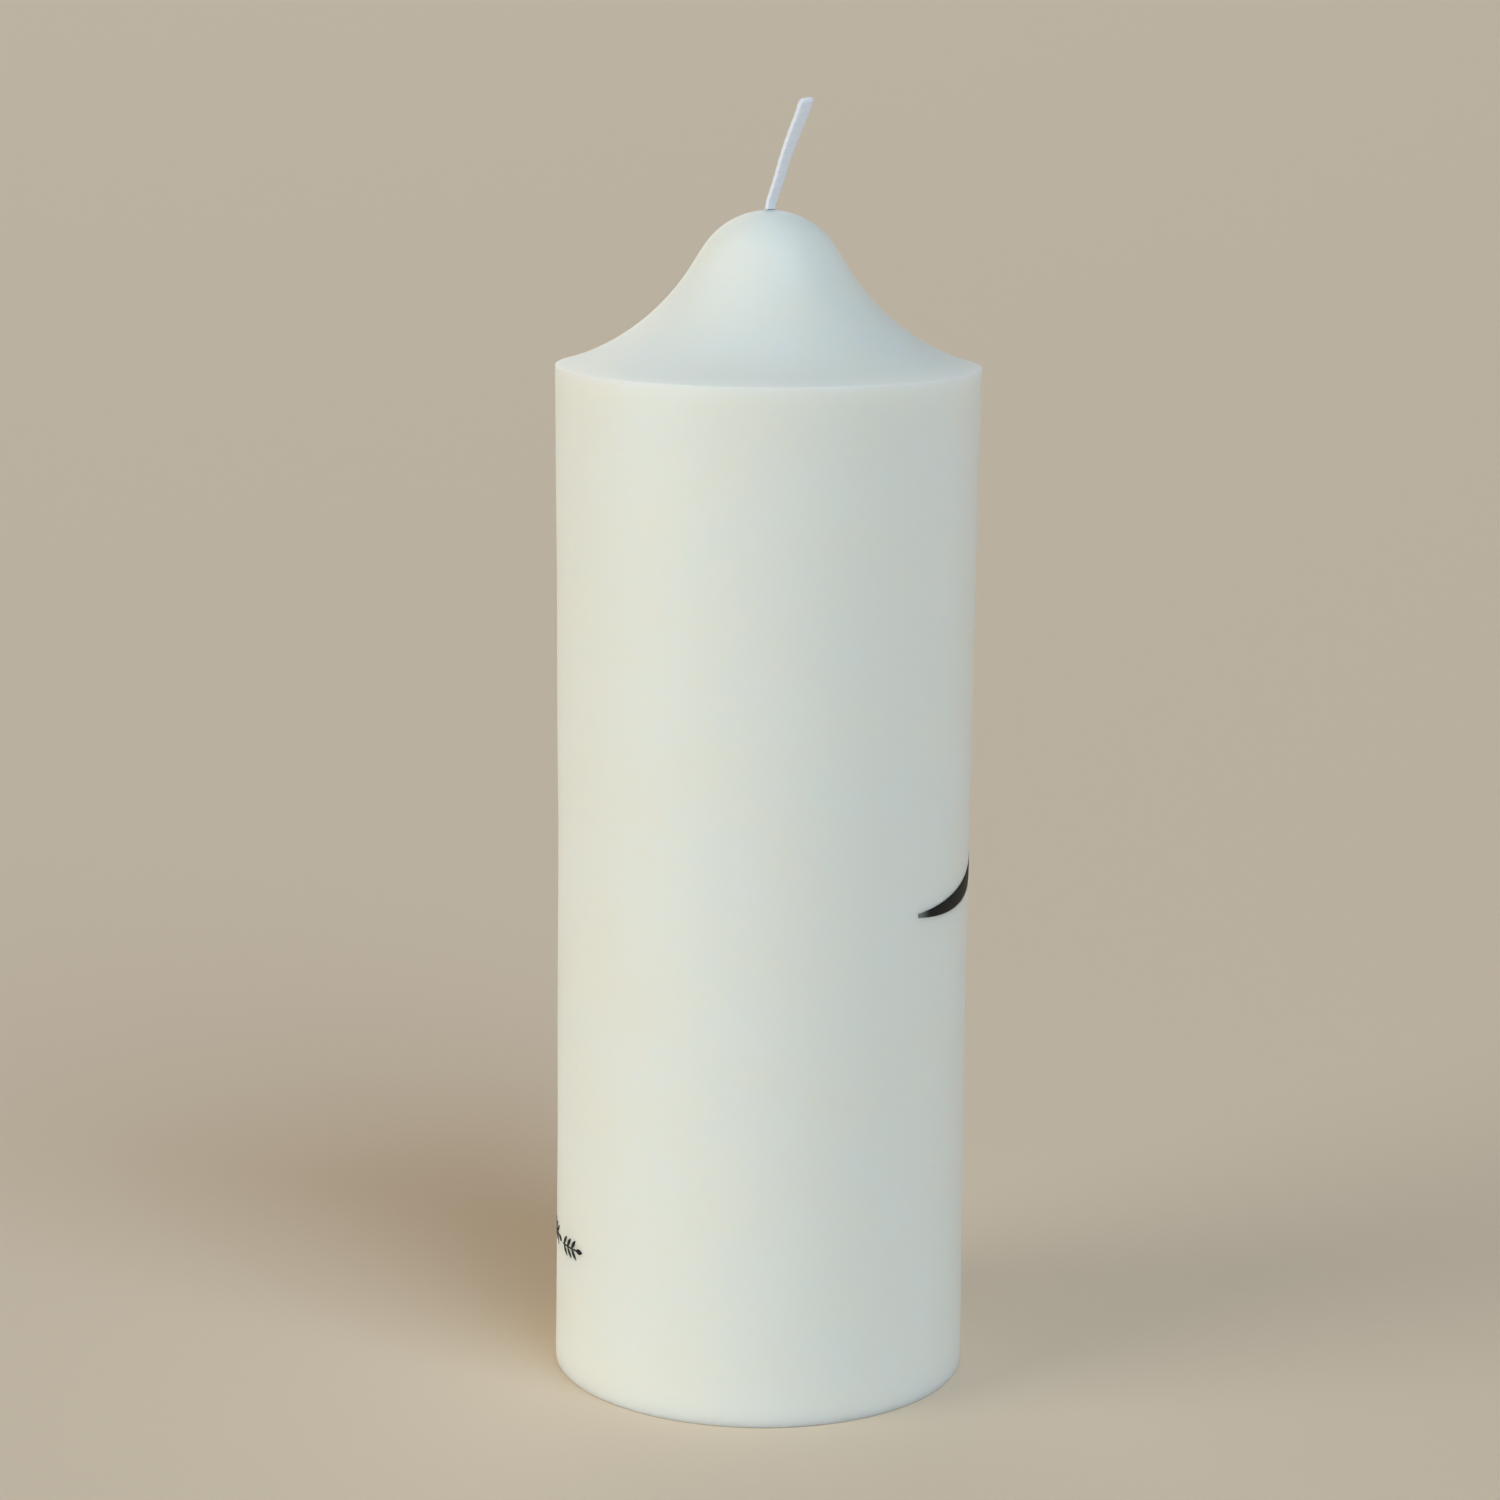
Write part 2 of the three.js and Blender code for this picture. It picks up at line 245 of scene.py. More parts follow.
# Moulded paraffin wax: light goes in and spreads, so shade is soft and thin edges glow a little;
# faint clouds where it cooled unevenly, a satin skin from the mould, and a few small pocks.
def mouldedParaffin():
    p = paraffin
    material, tree = newMaterial("moulded_paraffin")
    place = addNode(tree, "ShaderNodeTexCoord", {})
    cloud = addNode(
        tree, "ShaderNodeTexNoise", {"Scale": 1 / p["cloud"], "Detail": 3.0, "Roughness": 0.55},
        {"Vector": (place, "Object")},
    )
    mottle = addNode(
        tree, "ShaderNodeTexNoise", {"Scale": 1 / p["mottle"], "Detail": 2.0, "Roughness": 0.5},
        {"Vector": (place, "Object")},
    )
    grain = addNode(
        tree, "ShaderNodeTexNoise", {"Scale": 1 / p["grain"], "Detail": 2.0, "Roughness": 0.6},
        {"Vector": (place, "Object")},
    )
    blend = addNode(
        tree, "ShaderNodeMath", {"operation": "MULTIPLY_ADD", 1: p["mottleShare"]},
        {0: (mottle, "Fac"), 2: (cloud, "Fac")},
    )
    spread = addNode(
        tree, "ShaderNodeMapRange", {"From Min": 0.45, "From Max": 0.9}, {"Value": (blend, "Value")},
    )
    colour = addNode(
        tree, "ShaderNodeMix", {"data_type": "RGBA", 6: linear(p["warm"]), 7: linear(p["cool"])},
        {0: (spread, "Result")},
    )
    satin = addNode(
        tree, "ShaderNodeMapRange",
        {"From Min": 0.3, "From Max": 0.7, "To Min": p["roughness"][0], "To Max": p["roughness"][1]},
        {"Value": (cloud, "Fac")},
    )
    # a pock at the middle of one cell out of many, where the cell's own random number is high
    cells = addNode(
        tree, "ShaderNodeTexVoronoi", {"Scale": 1 / p["pockSpacing"]}, {"Vector": (place, "Object")},
    )
    dip = addNode(
        tree, "ShaderNodeMapRange",
        {"interpolation_type": "SMOOTHSTEP", "From Min": 0.0,
         "From Max": p["pockSize"] / p["pockSpacing"], "To Min": -1.0, "To Max": 0.0},
        {"Value": (cells, "Distance")},
    )
    chosen = addNode(
        tree, "ShaderNodeMath", {"operation": "GREATER_THAN", 1: p["pockFrom"]}, {0: (cells, "Color")},
    )
    pocks = addNode(
        tree, "ShaderNodeMath", {"operation": "MULTIPLY"}, {0: (dip, "Result"), 1: (chosen, "Value")},
    )
    grainBump = addNode(
        tree, "ShaderNodeBump", {"Strength": 1.0, "Distance": p["grainHeight"]},
        {"Height": (grain, "Fac")},
    )
    pockBump = addNode(
        tree, "ShaderNodeBump", {"Strength": 1.0, "Distance": p["pockDepth"]},
        {"Height": (pocks, "Value"), "Normal": (grainBump, "Normal")},
    )
    wax = addNode(
        tree, "ShaderNodeBsdfPrincipled",
        {"IOR": 1.44, "Subsurface Weight": 1.0, "Subsurface Scale": p["scatterDepth"],
         "Subsurface Radius": p["scatterReach"]},
        {"Base Color": (colour, 2), "Roughness": (satin, "Result"), "Normal": (pockBump, "Normal")},
    )
    addNode(tree, "ShaderNodeOutputMaterial", {}, {"Surface": (wax, "BSDF")})
    return material


cotton = {
    "thread": "#FFFEFB",
    # painted shade: a cool blue-grey standing in for the shade on the wick's broad face
    "paintedShade": "#D2DCEC",
    "cut": "#FFFBF2",
    "cutFrom": 0.985,  # share of the way along where the cut end starts
    "roughness": 0.42,
    "fibre": 0.12 * mm,
    "fibreSquash": 0.25,  # the noise is read this much slower up the wick, so its grain is long
    "fibreHeight": 0.01 * mm,
    "scatterDepth": 0.3 * mm,
}


# Braided cotton primed with wax: white threads with a thin waxy skin that half fills the braid, and
# whiter dry fibres at the cut end. The blue-grey that the fibre noise mixes in is painted shade.
def primedCotton():
    c = cotton
    material, tree = newMaterial("primed_cotton_braid")
    place = addNode(tree, "ShaderNodeTexCoord", {})
    stretch = addNode(
        tree, "ShaderNodeMapping", {"Scale": (1.0, 1.0, c["fibreSquash"])},
        {"Vector": (place, "Object")},
    )
    fibre = addNode(
        tree, "ShaderNodeTexNoise", {"Scale": 1 / c["fibre"], "Detail": 3.0},
        {"Vector": (stretch, "Vector")},
    )
    along = addNode(tree, "ShaderNodeSeparateXYZ", {}, {"Vector": (place, "UV")})
    end = addNode(
        tree, "ShaderNodeMapRange", {"From Min": c["cutFrom"], "From Max": 1.0}, {"Value": (along, "X")},
    )
    # the thread colour mixed with the painted shade by the fibre noise
    braid = addNode(
        tree, "ShaderNodeMix", {"data_type": "RGBA", 6: linear(c["thread"]), 7: linear(c["paintedShade"])},
        {0: (fibre, "Fac")},
    )
    colour = addNode(
        tree, "ShaderNodeMix", {"data_type": "RGBA", 7: linear(c["cut"])},
        {0: (end, "Result"), 6: (braid, 2)},
    )
    bump = addNode(
        tree, "ShaderNodeBump", {"Strength": 1.0, "Distance": c["fibreHeight"]},
        {"Height": (fibre, "Fac")},
    )
    surface = addNode(
        tree, "ShaderNodeBsdfPrincipled",
        {"Roughness": c["roughness"], "IOR": 1.44, "Subsurface Weight": 0.15,
         "Subsurface Scale": c["scatterDepth"], "Subsurface Radius": (1.0, 1.0, 1.0)},
        {"Base Color": (colour, 2), "Normal": (bump, "Normal")},
    )
    addNode(tree, "ShaderNodeOutputMaterial", {}, {"Surface": (surface, "BSDF")})
    return material


tinPlate = {
    "metal": "#C4C5C6",
    "stain": "#9C9A96",
    "roughness": (0.24, 0.42),
    "rolling": 0.5 * mm,  # across one rolling line
    "rollingSquash": 0.06,  # the noise is read this much slower along the strip
    "rollingHeight": 0.004 * mm,
}


# Tin-plated steel, pressed from rolled strip: bright grey with faint rolling lines one way.
def pressedTinPlate():
    t = tinPlate
    material, tree = newMaterial("pressed_tin_plate")
    place = addNode(tree, "ShaderNodeTexCoord", {})
    stretch = addNode(
        tree, "ShaderNodeMapping", {"Scale": (t["rollingSquash"], 1.0, 1.0)},
        {"Vector": (place, "Object")},
    )
    rolling = addNode(
        tree, "ShaderNodeTexNoise", {"Scale": 1 / t["rolling"], "Detail": 3.0},
        {"Vector": (stretch, "Vector")},
    )
    colour = addNode(
        tree, "ShaderNodeMix", {"data_type": "RGBA", 6: linear(t["metal"]), 7: linear(t["stain"])},
        {0: (rolling, "Fac")},
    )
    satin = addNode(
        tree, "ShaderNodeMapRange", {"To Min": t["roughness"][0], "To Max": t["roughness"][1]},
        {"Value": (rolling, "Fac")},
    )
    bump = addNode(
        tree, "ShaderNodeBump", {"Strength": 1.0, "Distance": t["rollingHeight"]},
        {"Height": (rolling, "Fac")},
    )
    surface = addNode(
        tree, "ShaderNodeBsdfPrincipled", {"Metallic": 1.0},
        {"Base Color": (colour, 2), "Roughness": (satin, "Result"), "Normal": (bump, "Normal")},
    )
    addNode(tree, "ShaderNodeOutputMaterial", {}, {"Surface": (surface, "BSDF")})
    return material


ink = {
    "full": "#131112",
    "thin": "#74807A",
    "fade": 0.045,  # share of a stroke's length over which its tip comes up to full ink
    "roughness": 0.55,
    "specular": 0.12,
    "grain": 0.16 * mm,
    "grainShare": 0.08,  # how far towards thin ink the grain goes at most
    "grainHeight": 0.004 * mm,
}


# Screen-printed transfer ink: a warm black film with little gloss, thinner and greyer at a
# stroke's tip, with a fine grain from the screen.
def transferInk():
    k = ink
    material, tree = newMaterial("transfer_ink")
    place = addNode(tree, "ShaderNodeTexCoord", {})
    along = addNode(tree, "ShaderNodeSeparateXYZ", {}, {"Vector": (place, "UV")})
    fade = addNode(
        tree, "ShaderNodeMapRange",
        {"interpolation_type": "SMOOTHSTEP", "From Min": 0.0, "From Max": k["fade"],
         "To Min": 1.0, "To Max": 0.0},
        {"Value": (along, "X")},
    )
    grain = addNode(
        tree, "ShaderNodeTexNoise", {"Scale": 1 / k["grain"], "Detail": 2.0},
        {"Vector": (place, "Object")},
    )
    thinner = addNode(
        tree, "ShaderNodeMath", {"operation": "MULTIPLY_ADD", 1: k["grainShare"]},
        {0: (grain, "Fac"), 2: (fade, "Result")},
    )
    colour = addNode(
        tree, "ShaderNodeMix", {"data_type": "RGBA", 6: linear(k["full"]), 7: linear(k["thin"])},
        {0: (thinner, "Value")},
    )
    bump = addNode(
        tree, "ShaderNodeBump", {"Strength": 1.0, "Distance": k["grainHeight"]},
        {"Height": (grain, "Fac")},
    )
    surface = addNode(
        tree, "ShaderNodeBsdfPrincipled",
        {"Roughness": k["roughness"], "IOR": 1.5, "Specular IOR Level": k["specular"]},
        {"Base Color": (colour, 2), "Normal": (bump, "Normal")},
    )
    addNode(tree, "ShaderNodeOutputMaterial", {}, {"Surface": (surface, "BSDF")})
    return material


waxMaterial = mouldedParaffin()
wickMaterial = primedCotton()
tabMaterial = pressedTinPlate()
inkMaterial = transferInk()
print("materials made")


# the wick's values come before the wax's, because the wax closes on the wick
wickShape = {
    "lean": [  # (towards +X, above the crown), in mm
        (0, -12), (0, -6), (0, 0.1), (0.4, 2.0), (1.2, 4.4), (2.35, 8.4), (3.75, 12.4), (5.0, 15.6),
        (5.6, 17.5),
    ],
    "halfWidth": (0.88 * mm, 1.18 * mm),  # at the wax, at the cut end
    "halfThickness": (0.43 * mm, 0.56 * mm),
    "swelling": 1.4,  # power by which it widens on the way
    "square": 0.45,  # 1 is an ellipse, less is squarer
    "faceTurn": (42, 30),  # degrees between the broad face and straight at -Y
    "plait": 1.6 * mm,  # length of one plait of the braid
    "plaitDepth": 0.014 * mm,
    "leaves": 2 * mm,  # below the crown, where the fine rows start
    "cutLength": 3 * mm,  # the end's slant comes in over this length
    "cutSlant": (0.35, 0.3),  # how steeply the cut end rises sideways and away
    "cutRings": ((0.96, 0.14), (0.86, 0.3), (0.68, 0.42), (0.45, 0.5), (0.2, 0.52)),  # (size, mm proud)
    "threads": 3,  # bundles of thread round the cut end
    "threadHeight": 0.07 * mm,
    "threadTwist": 7,  # phase, in radians, that the bundles gain from the cut's middle to its edge
    "columns": 64,
    "hiddenRows": 60,
    "exposedRows": 150,
    "traceSteps": 2400,
}
waxShape = {
    "sideShrink": 0.44 * mm,  # the side is drawn in this far at mid-height
    "baseRound": 0.3 * mm,
    "rimRound": 0.15 * mm,
    "rimEnd": 76,  # degrees up the rim's rounding at which the bell takes over
    "domeRadius": 12.8 * mm,
    "flankSlope": 57.9,  # degrees from level
    "flankLength": 3.4 * mm,
    "crownToTop": 0.4 * mm,  # from the dome's own top to the wax body's highest point
    "creepRise": 0.25 * mm,  # wax drawn up round the wick
    "creepReach": 0.9 * mm,
    "creepPower": 2.2,  # more keeps the rise closer to the wick
    "gripDepth": 3 * mm,  # where the wax has set against the wick
    "gripBite": 0.12 * mm,  # the wax closes this far inside the wick, so that no gap shows
    "gripTaper": 1 * mm,  # height over which it widens to the channel
    "channelRadius": 1.25 * mm,
    "recessDepth": 0.6 * mm,
    "recessGap": 0.5 * mm,  # round the tab's disc
    "collarGap": 0.5 * mm,  # wider than the channel, round the tab's collar
    "collarRoom": 0.25 * mm,  # above the collar
    "roofStart": 1 * mm,  # first row of the recess's roof, out from the collar's hole
    "columns": 288,
    "uneven": 0.03 * mm,  # how much the skin waves in and out
    "evenBase": 6 * mm,  # the waves come in over this height above the base
    "evenMouth": (2 * mm, 5 * mm),  # none inside this radius, and all of them this much further out
    "waves": 10,
    "waveTurns": (1, 7),  # waves round the candle, from and below
    "waveLength": (28 * mm, 110 * mm),
    "seed": 11,
}
waxRows = {  # points on each stretch of the section
    "base": 12, "edge": 8, "side": 122, "rim": 6, "sweep": 62, "flank": 8, "dome": 44, "creep": 10,
    "grip": 5, "channel": 20, "collar": 5, "roof": 6,
}
waxWaves = np.random.default_rng(waxShape["seed"])
waveTurns = waxWaves.integers(*waxShape["waveTurns"], waxShape["waves"])
waveLengths = waxWaves.uniform(*waxShape["waveLength"], waxShape["waves"])
wavePhases = waxWaves.uniform(0, 2 * math.pi, waxShape["waves"])
crownHeight = waxHigh.z - waxShape["crownToTop"]


# how far the skin stands out: a sum of waves cos(turns * angle + 2 pi height / length + phase)
def unevenness(angle, height):
    total = np.zeros(np.broadcast(angle, height).shape)
    for turns, length, phase in zip(waveTurns, waveLengths, wavePhases):
        total += np.cos(turns * angle + 2 * math.pi * height / length + phase)
    return total * waxShape["uneven"] / math.sqrt(waxShape["waves"] / 2)


# body radius - shrink * 4h(1 - h), with h the share of the way up the side
def sideRadius(height):
    rise = np.clip(height / shoulderHeight, 0, 1)
    return bodyRadius - waxShape["sideShrink"] * 4 * rise * (1 - rise)


# The bell from the rim in: a hollow sweep from the rim to the flank, the straight flank, the dome's
# arc, and the wax that creeps up the wick as distance^creepPower. The sweep leaves the flank in
# line with it, so its centre lies on the flank's normal, and it ends at the rim, so its radius is
# span^2 / 2 (span . normal).
def bellProfile(rimPoint):
    w = waxShape
    slope = math.radians(w["flankSlope"])
    domeRadius = w["domeRadius"]
    domeCentre = np.array([0, crownHeight - domeRadius])
    outward = np.array([math.sin(slope), math.cos(slope)])
    flankTop = domeCentre + domeRadius * outward
    flankFoot = flankTop + w["flankLength"] * np.array([math.cos(slope), -math.sin(slope)])
    span = rimPoint - flankFoot
    sweepRadius = span @ span / (2 * span @ outward)
    sweepCentre = flankFoot + sweepRadius * outward
    toRim, toFlank = rimPoint - sweepCentre, flankFoot - sweepCentre
    atRim, atFlank = (math.atan2(way[1], way[0]) for way in (toRim, toFlank))
    sweep = arc(sweepCentre, sweepRadius, atRim, atFlank, waxRows["sweep"])
    flank = straight(flankFoot, flankTop, waxRows["flank"])
    creepFoot = wickShape["halfWidth"][0] + w["creepReach"]
    creepStart = math.acos(creepFoot / domeRadius)
    dome = arc(domeCentre, domeRadius, math.pi / 2 - slope, creepStart, waxRows["dome"])
    rise = np.linspace(0, 1, waxRows["creep"])[1:]
    creepTop = crownHeight + w["creepRise"]
    creep = np.stack([
        creepFoot - w["creepReach"] * rise,
        dome[-1, 1] + (creepTop - dome[-1, 1]) * rise ** w["creepPower"],
    ], -1)
    return np.vstack([sweep[1:], flank[1:], dome[1:], creep])


# how far a superellipse |x/a|^(2/e) + |y/b|^(2/e) = 1, turned as the wick's foot is, reaches from
# its middle in the direction of each column
def wickReach(angle):
    a, b, power = wickShape["halfWidth"][0], wickShape["halfThickness"][0], 2 / wickShape["square"]
    direction = angle - math.pi / 2 - math.radians(wickShape["faceTurn"][0])
    inverse = np.abs(np.cos(direction) / a) ** power + np.abs(np.sin(direction) / b) ** power
    return inverse ** (-1 / power)


# The whole section, base first and back down the wick's channel; how much of the skin's
# unevenness each point takes, all of it outside and none on the base and in the channel; and how
# far each point follows the wick's own section, wholly where the wax grips it.
def waxSection():
    w, rows = waxShape, waxRows
    recessRadius = tabHigh.x + w["recessGap"]
    recessRoof = tabLow.z + w["recessDepth"]
    collarHole = w["channelRadius"] + w["collarGap"]
    base = straight((recessRadius, 0), (sideRadius(0) - w["baseRound"], 0), rows["base"])
    edgeCentre = (sideRadius(w["baseRound"]) - w["baseRound"], w["baseRound"])
    edge = arc(edgeCentre, w["baseRound"], -math.pi / 2, 0, rows["edge"])
    heights = np.linspace(w["baseRound"], shoulderHeight - w["rimRound"], rows["side"])
    side = np.stack([sideRadius(heights), heights], -1)
    rimCentre = (bodyRadius - w["rimRound"], shoulderHeight - w["rimRound"])
    rim = arc(rimCentre, w["rimRound"], 0, math.radians(w["rimEnd"]), rows["rim"])
    bell = bellProfile(rim[-1])
    mouth = bell[-1]
    gripFoot = mouth - (0, w["gripDepth"])
    grip = straight(mouth, gripFoot, rows["grip"])
    channelTop = np.array([w["channelRadius"], gripFoot[1] - w["gripTaper"]])
    collarTop = tabHigh.z + w["collarRoom"]
    channel = straight(channelTop, (w["channelRadius"], collarTop), rows["channel"])
    collar = straight((collarHole, collarTop), (collarHole, recessRoof), rows["collar"])
    roof = straight((collarHole + w["roofStart"], recessRoof), (recessRadius, recessRoof), rows["roof"])
    outside = np.vstack([edge[1:], side[1:], rim[1:], bell])
    inside = np.vstack([grip[1:], channel, collar, roof])
    section = np.vstack([base, outside, inside])
    share = np.concatenate([np.zeros(len(base)), np.ones(len(outside)), np.zeros(len(inside))])
    fromBase = softStep(section[:, 1] / w["evenBase"])
    fromMouth = softStep((section[:, 0] - w["evenMouth"][0]) / w["evenMouth"][1])
    follows = 1 - np.clip((section[:, 0] - mouth[0]) / w["creepReach"], 0, 1)
    follows *= section[:, 1] > gripFoot[1] - w["gripTaper"] / 2
    return section, share * fromBase * fromMouth, follows


# A solid of revolution: x = r sin a, y = -r cos a, pushed out along the section's own normal by
# the skin's unevenness, and closed on the wick where it leaves the wax.
def makeWaxBody():
    section, share, follows = waxSection()
    along = np.gradient(section, axis=0)
    normal = np.stack([along[:, 1], -along[:, 0]], -1)
    normal /= np.linalg.norm(normal, axis=1)[:, None]
    angle = np.linspace(0, 2 * math.pi, waxShape["columns"], endpoint=False)[None, :]
    push = share[:, None] * unevenness(angle, section[:, 1][:, None])
    toWick = wickReach(angle) - waxShape["gripBite"] - wickShape["halfWidth"][0]
    radius = section[:, 0][:, None] + push * normal[:, 0][:, None] + follows[:, None] * toWick
    height = section[:, 1][:, None] + push * normal[:, 1][:, None]
    sections = np.stack([radius * np.sin(angle), -radius * np.cos(angle), height], -1)
    body = makePiece("wax_pillar", [carried(sections, closed=True)], waxMaterial, ["wax_body"])
    print("wax pillar: %d faces" % len(body.data.polygons))


makeWaxBody()


# The route is a given line; its section is |x/a|^(2/e) + |y/b|^(2/e) = 1, which widens and
# turns as it goes, with the braid's chevrons raised on it: depth * cos(2 pi (length / plait +
# |x| / 2a)). Its cut end is slanted and drawn in to the middle, ring by ring.
def makeWick():
    w = wickShape
    foot = np.array([[0, wickLow.z], [0, crownHeight / 3], [0, 2 * crownHeight / 3]])
    lean = np.array(w["lean"]) * mm + (0, crownHeight)
    whole = smoothLine(np.vstack([foot, lean]), w["traceSteps"])
    length = lengthsAlong(whole)
    leaves = np.interp(crownHeight - w["leaves"], whole[:, 1], length)
    stations = np.concatenate([
        np.linspace(0, leaves, w["hiddenRows"], endpoint=False),
        np.linspace(leaves, length[-1], w["exposedRows"]),
    ])
    centre = np.stack([np.interp(stations, length, whole[:, k]) for k in (0, 1)], -1)
    along = np.gradient(centre, stations, axis=0)
    along /= np.linalg.norm(along, axis=1)[:, None]
    out = np.clip((stations - leaves) / (length[-1] - leaves), 0, 1)[:, None]
    swollen = out ** w["swelling"]
    phi = np.linspace(0, 2 * math.pi, w["columns"], endpoint=False)[None, :]
    broad = np.sign(np.cos(phi)) * np.abs(np.cos(phi)) ** w["square"]
    thick = np.sign(np.sin(phi)) * np.abs(np.sin(phi)) ** w["square"]
    halfWidth, halfThickness = (
        w[key][0] + (w[key][1] - w[key][0]) * swollen for key in ("halfWidth", "halfThickness")
    )
    braid = np.cos(2 * math.pi * (stations[:, None] / w["plait"] + np.abs(broad) / 2))
    plump = 1 + w["plaitDepth"] / halfThickness * braid * (out > 0)
    turn = np.radians(w["faceTurn"][0] + (w["faceTurn"][1] - w["faceTurn"][0]) * out)
    # the section's own axes: sideways in the plane of the lean, and away along +Y
    x = broad * halfWidth * plump
    y = thick * halfThickness * plump
    sideways = x * np.cos(turn) - y * np.sin(turn)
    away = x * np.sin(turn) + y * np.cos(turn)
    nearCut = softStep((stations[:, None] - length[-1] + w["cutLength"]) / w["cutLength"])
    cut = nearCut * (w["cutSlant"][0] * sideways + w["cutSlant"][1] * away)
    sections = np.stack([
        centre[:, 0][:, None] + sideways * along[:, 1][:, None] + cut * along[:, 0][:, None],
        away,
        centre[:, 1][:, None] - sideways * along[:, 0][:, None] + cut * along[:, 1][:, None],
    ], -1)
    # the cut end: the last section drawn in, in rings, with its threads standing a little proud
    last, middle = sections[-1], sections[-1].mean(0)
    direction = np.array([along[-1, 0], 0, along[-1, 1]])
    caps = []
    for share, proud in w["cutRings"]:
        threads = w["threadHeight"] * np.cos(w["threads"] * phi[0] + w["threadTwist"] * share)
        caps.append(middle + (last - middle) * share + direction * (proud * mm + threads)[:, None])
    sections = np.concatenate([sections, np.array(caps)])
    piece = makePiece("wick_braid", [carried(sections)], wickMaterial, ["wick"])
    print("wick: %d faces" % len(piece.data.polygons))


makeWick()


tabShape = {
    "sheet": 0.35 * mm,
    "boreGap": 0.2 * mm,  # between the wick's edge and the collar
    "edgeRound": 0.12 * mm,  # the flat underside ends this far in from the rim
    "bend": 0.6 * mm,  # radius between disc and collar
    "chamfer": 0.1 * mm,  # at the collar's ends, up and down
    "lip": 0.08 * mm,  # and in and out
    "rib": 0.16 * mm,
    "ribRadius": 6.4 * mm,
    "ribWidth": 0.8 * mm,
    "crimps": 4,
    "crimpDepth": 0.14 * mm,
    "crimpRise": 1 * mm,  # the crimps' middle above the tab's
    "crimpLength": 1.4 * mm,
    "crimpPower": 3,  # more makes each crimp narrower
    "columns": 128,
}
tabRows = {"disc": 60, "rim": 8, "bend": 8, "outer": 16, "lip": 3, "inner": 20}  # points on each stretch


# A pressed disc and collar: a closed section turned round Z, with a ring-shaped rib
# rib * exp(-((r - ribRadius) / ribWidth)^2) in the disc, and crimps in the collar, each
# depth * exp(-(height / length)^2) * cos(crimps * a)^power.
def makeTab():
    t, rows = tabShape, tabRows
    bore = wickShape["halfWidth"][0] + t["boreGap"]
    collar = bore + t["sheet"]
    low, top = tabLow.z, tabLow.z + t["sheet"]
    chamferTop = tabHigh.z - t["chamfer"]
    under = straight((bore + t["chamfer"], low), (tabHigh.x - t["edgeRound"], low), rows["disc"])
    rimCentre = (tabHigh.x - t["sheet"] / 2, low + t["sheet"] / 2)
    rim = arc(rimCentre, t["sheet"] / 2, -math.pi / 2, math.pi / 2, rows["rim"])
    over = straight((tabHigh.x - t["sheet"], top), (collar + t["bend"], top), rows["disc"])
    bendCentre = (collar + t["bend"], top + t["bend"])
    bend = arc(bendCentre, t["bend"], -math.pi / 2, -math.pi, rows["bend"])
    outer = straight((collar, top + t["bend"]), (collar, chamferTop), rows["outer"])
    lip = straight((collar - t["lip"], tabHigh.z), (bore + t["lip"], tabHigh.z), rows["lip"])
    inner = straight((bore, chamferTop), (bore, low + t["chamfer"]), rows["inner"])
    section = np.vstack([under, rim[1:], over, bend[1:], outer[1:], lip, inner])
    rib = t["rib"] * np.exp(-(((section[:, 0] - t["ribRadius"]) / t["ribWidth"]) ** 2))
    rib *= section[:, 1] < top + t["bend"] / 2
    angle = np.linspace(0, 2 * math.pi, t["columns"], endpoint=False)[None, :]
    crimpMiddle = (low + tabHigh.z) / 2 + t["crimpRise"]
    onCollar = np.exp(-(((section[:, 1] - crimpMiddle) / t["crimpLength"]) ** 2))
    onCollar = onCollar * (section[:, 0] < collar + t["bend"] / 3)
    pinch = np.maximum(0, np.cos(t["crimps"] * angle)) ** t["crimpPower"]
    radius = section[:, 0][:, None] - t["crimpDepth"] * onCollar[:, None] * pinch
    height = np.broadcast_to((section[:, 1] + rib)[:, None], radius.shape)
    sections = np.stack([radius * np.sin(angle), -radius * np.cos(angle), height], -1)
    makePiece("wick_tab_pressed", [carried(sections, closed=True)], tabMaterial, ["wick_tab"])
    print("wick tab made")


makeTab()


film = {
    "gap": 0.01 * mm,  # to the wax
    "edge": 0.02 * mm,  # thickness
    "middle": 0.06 * mm,
    "across": 6,  # points from edge to edge
}


# Lays flat ink on the wax. left and right are its two edges, as (distance round, height); the film
# lies between them, thicker in the middle: edge + (middle - edge)(1 - v^2), v from -1 to 1 across.
def inkFilm(left, right):
    v = np.linspace(-1, 1, film["across"])
    thickness = film["gap"] + film["edge"] + (film["middle"] - film["edge"]) * (1 - v * v)
    over = np.concatenate([v, v[::-1]])
    lift = np.concatenate([thickness, np.full(film["across"], film["gap"])])
    share = (over[None, :, None] + 1) / 2
    flat = left[:, None, :] * (1 - share) + right[:, None, :] * share
    angle, height = flat[..., 0] / bodyRadius, flat[..., 1]
    radius = sideRadius(height) + unevenness(angle, height) + lift[None, :]
    return carried(np.stack([radius * np.sin(angle), -radius * np.cos(angle), height], -1))


# the two edges of a brush stroke: centre +- normal * breadth / 2
def strokeEdges(centre, breadth):
    along = np.gradient(centre, axis=0)
    along /= np.linalg.norm(along, axis=1)[:, None]
    normal = np.stack([-along[:, 1], along[:, 0]], -1) * breadth[:, None] / 2
    return centre + normal, centre - normal


# 1 - (1 - d/l)^2 over a stroke's first length l
def opening(distance, length):
    return 1 - np.clip(1 - distance / length, 0, 1) ** 2


